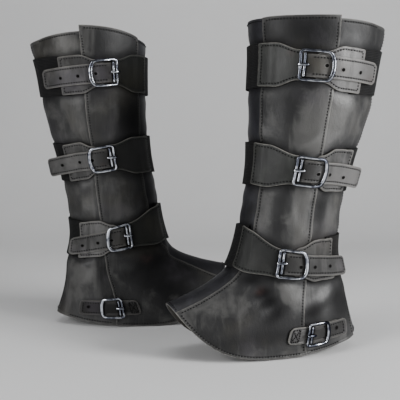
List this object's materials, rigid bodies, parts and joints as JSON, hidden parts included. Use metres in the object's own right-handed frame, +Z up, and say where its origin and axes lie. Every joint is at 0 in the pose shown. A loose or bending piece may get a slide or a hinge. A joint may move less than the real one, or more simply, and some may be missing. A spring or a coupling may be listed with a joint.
{
  "type": "pair of leather spats",
  "caption": "Pair of tall leather spats that wrap each leg from calf to instep over a boot, closed down the outer side by buckled, elastic-backed straps.",
  "frame": {"origin": "the left ankle's centre, on the leg's axis, 150 mm above the ground the wearer stands on, where the left leg holds its spat", "axes": "+Z up along the leg; both spats' outer, buckled sides face -Y; the left toe points towards -X and the right toe towards +X"},
  "size_m": [0.4568, 0.3014, 0.4067],
  "materials": {
    "panel_leather": "distressed satin",
    "strap_leather": "worn, grained",
    "elastic": "ribbed elastic webbing",
    "steel": "polished dark nickel"
  },
  "bodies": {
    "root": {"left_outer_front_panel": "panel_leather", "left_outer_rear_panel": "panel_leather", "left_inner_panel": "panel_leather", "left_strap1_elastic": "elastic", "left_strap1_front_wing": "strap_leather", "left_strap1_rear_strap": "strap_leather", "left_buckle1_frame": "steel", "left_buckle1_bar": "steel", "left_buckle1_prong": "steel", "left_strap2_elastic": "elastic", "left_strap2_front_wing": "strap_leather", "left_strap2_rear_strap": "strap_leather", "left_buckle2_frame": "steel", "left_buckle2_bar": "steel", "left_buckle2_prong": "steel", "left_strap3_elastic": "elastic", "left_strap3_front_wing": "strap_leather", "left_strap3_rear_strap": "strap_leather", "left_buckle3_frame": "steel", "left_buckle3_bar": "steel", "left_buckle3_prong": "steel", "left_hem_tab": "strap_leather", "left_hem_tongue": "strap_leather", "left_hem_buckle_frame": "steel", "left_hem_buckle_bar": "steel", "left_hem_buckle_prong": "steel", "right_outer_front_panel": "panel_leather", "right_outer_rear_panel": "panel_leather", "right_inner_panel": "panel_leather", "right_strap1_elastic": "elastic", "right_strap1_front_wing": "strap_leather", "right_strap1_rear_strap": "strap_leather", "right_buckle1_frame": "steel", "right_buckle1_bar": "steel", "right_buckle1_prong": "steel", "right_strap2_elastic": "elastic", "right_strap2_front_wing": "strap_leather", "right_strap2_rear_strap": "strap_leather", "right_buckle2_frame": "steel", "right_buckle2_bar": "steel", "right_buckle2_prong": "steel", "right_strap3_elastic": "elastic", "right_strap3_front_wing": "strap_leather", "right_strap3_rear_strap": "strap_leather", "right_buckle3_frame": "steel", "right_buckle3_bar": "steel", "right_buckle3_prong": "steel", "right_hem_tab": "strap_leather", "right_hem_tongue": "strap_leather", "right_hem_buckle_frame": "steel", "right_hem_buckle_bar": "steel", "right_hem_buckle_prong": "steel"}
  },
  "joints": []
}
